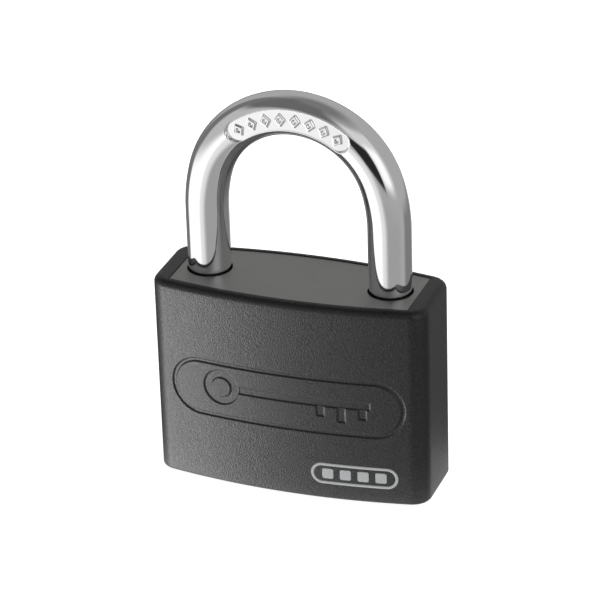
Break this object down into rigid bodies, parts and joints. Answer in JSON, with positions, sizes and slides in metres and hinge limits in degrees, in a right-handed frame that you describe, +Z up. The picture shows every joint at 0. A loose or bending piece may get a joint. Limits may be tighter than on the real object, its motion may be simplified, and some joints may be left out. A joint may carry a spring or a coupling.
{
  "type": "block padlock",
  "caption": "Block padlock with an aluminium body in a bowed black plastic jacket and a round chromed shackle with double locking bolts.",
  "frame": {"origin": "centre of the jacket's bottom face", "axes": "+Z up along the shackle's legs; -Y out of the front face that carries the cartouche and badge; +X towards the shackle's toe leg"},
  "size_m": [0.043, 0.0174, 0.0618],
  "materials": {
    "black_plastic": "moulded, fine spark texture",
    "white_foil": "silver-white hot-stamped foil on a raised moulding",
    "aluminium": "extruded, satin brushed top",
    "chromed_steel": "polished chrome on hardened steel",
    "brass": "turned brass",
    "plated_steel": "zinc-plated turned steel",
    "spring_steel": "bright spring wire"
  },
  "bodies": {
    "padlock_body": {"jacket": "black_plastic", "badge_inlay": "white_foil", "lock_body": "aluminium", "shackle_retaining_pin": "plated_steel", "plug_retaining_pin": "plated_steel", "bolt_channel_plug": "aluminium", "chamber_caps": "brass", "shackle_spring": "spring_steel", "pin_spring_1": "spring_steel", "pin_spring_2": "spring_steel", "pin_spring_3": "spring_steel", "pin_spring_4": "spring_steel", "pin_spring_5": "spring_steel"},
    "shackle_carrier": {"shackle_follower": "plated_steel"},
    "shackle": {"shackle": "chromed_steel"},
    "plug": {"cylinder_plug": "brass"},
    "toe_bolt": {"toe_bolt": "plated_steel"},
    "heel_bolt": {"heel_bolt": "plated_steel", "bolt_spring": "spring_steel"},
    "driver_pin_1": {"driver_pin_1": "plated_steel"},
    "key_pin_1": {"key_pin_1": "brass"},
    "driver_pin_2": {"driver_pin_2": "plated_steel"},
    "key_pin_2": {"key_pin_2": "brass"},
    "driver_pin_3": {"driver_pin_3": "plated_steel"},
    "key_pin_3": {"key_pin_3": "brass"},
    "driver_pin_4": {"driver_pin_4": "plated_steel"},
    "key_pin_4": {"key_pin_4": "brass"},
    "driver_pin_5": {"driver_pin_5": "plated_steel"},
    "key_pin_5": {"key_pin_5": "brass"}
  },
  "joints": [
    {"name": "shackle_lift", "type": "slide", "parent": "padlock_body", "child": "shackle_carrier", "axis": [0, 0, 1], "range_m": [0, 0.0092], "deforming": ["shackle_spring"]},
    {"name": "shackle_swing", "type": "hinge", "parent": "shackle_carrier", "child": "shackle", "pos_m": [-0.01425, 0, 0.02], "axis": [0, 0, 1], "continuous": true},
    {"name": "plug_turn", "type": "hinge", "parent": "padlock_body", "child": "plug", "pos_m": [0, 0, 0.0121], "axis": [0, 0, 1], "range_deg": [0, 90]},
    {"name": "toe_bolt_slide", "type": "slide", "parent": "padlock_body", "child": "toe_bolt", "axis": [1, 0, 0], "range_m": [0, 0.0018], "deforming": ["bolt_spring"]},
    {"name": "heel_bolt_slide", "type": "slide", "parent": "padlock_body", "child": "heel_bolt", "axis": [-1, 0, 0], "range_m": [0, 0.0018]},
    {"name": "driver_pin_1_slide", "type": "slide", "parent": "padlock_body", "child": "driver_pin_1", "axis": [1, 0, 0], "range_m": [0, 0.001], "deforming": ["pin_spring_1"]},
    {"name": "driver_pin_2_slide", "type": "slide", "parent": "padlock_body", "child": "driver_pin_2", "axis": [1, 0, 0], "range_m": [0, 0.001], "deforming": ["pin_spring_2"]},
    {"name": "driver_pin_3_slide", "type": "slide", "parent": "padlock_body", "child": "driver_pin_3", "axis": [1, 0, 0], "range_m": [0, 0.001], "deforming": ["pin_spring_3"]},
    {"name": "driver_pin_4_slide", "type": "slide", "parent": "padlock_body", "child": "driver_pin_4", "axis": [1, 0, 0], "range_m": [0, 0.001], "deforming": ["pin_spring_4"]},
    {"name": "driver_pin_5_slide", "type": "slide", "parent": "padlock_body", "child": "driver_pin_5", "axis": [1, 0, 0], "range_m": [0, 0.001], "deforming": ["pin_spring_5"]},
    {"name": "key_pin_1_slide", "type": "slide", "parent": "plug", "child": "key_pin_1", "axis": [0, 1, 0], "range_m": [0, 0.0009]},
    {"name": "key_pin_2_slide", "type": "slide", "parent": "plug", "child": "key_pin_2", "axis": [0, 1, 0], "range_m": [0, 0.0017]},
    {"name": "key_pin_3_slide", "type": "slide", "parent": "plug", "child": "key_pin_3", "axis": [0, 1, 0], "range_m": [0, 0.0012]},
    {"name": "key_pin_4_slide", "type": "slide", "parent": "plug", "child": "key_pin_4", "axis": [0, 1, 0], "range_m": [0, 0.002]},
    {"name": "key_pin_5_slide", "type": "slide", "parent": "plug", "child": "key_pin_5", "axis": [0, 1, 0], "range_m": [0, 0.0014]}
  ],
  "couplings": [
    {"joint": "plug_turn", "follows": "toe_bolt_slide", "rad_per_m": 872.66},
    {"joint": "heel_bolt_slide", "follows": "toe_bolt_slide", "ratio": 1}
  ]
}
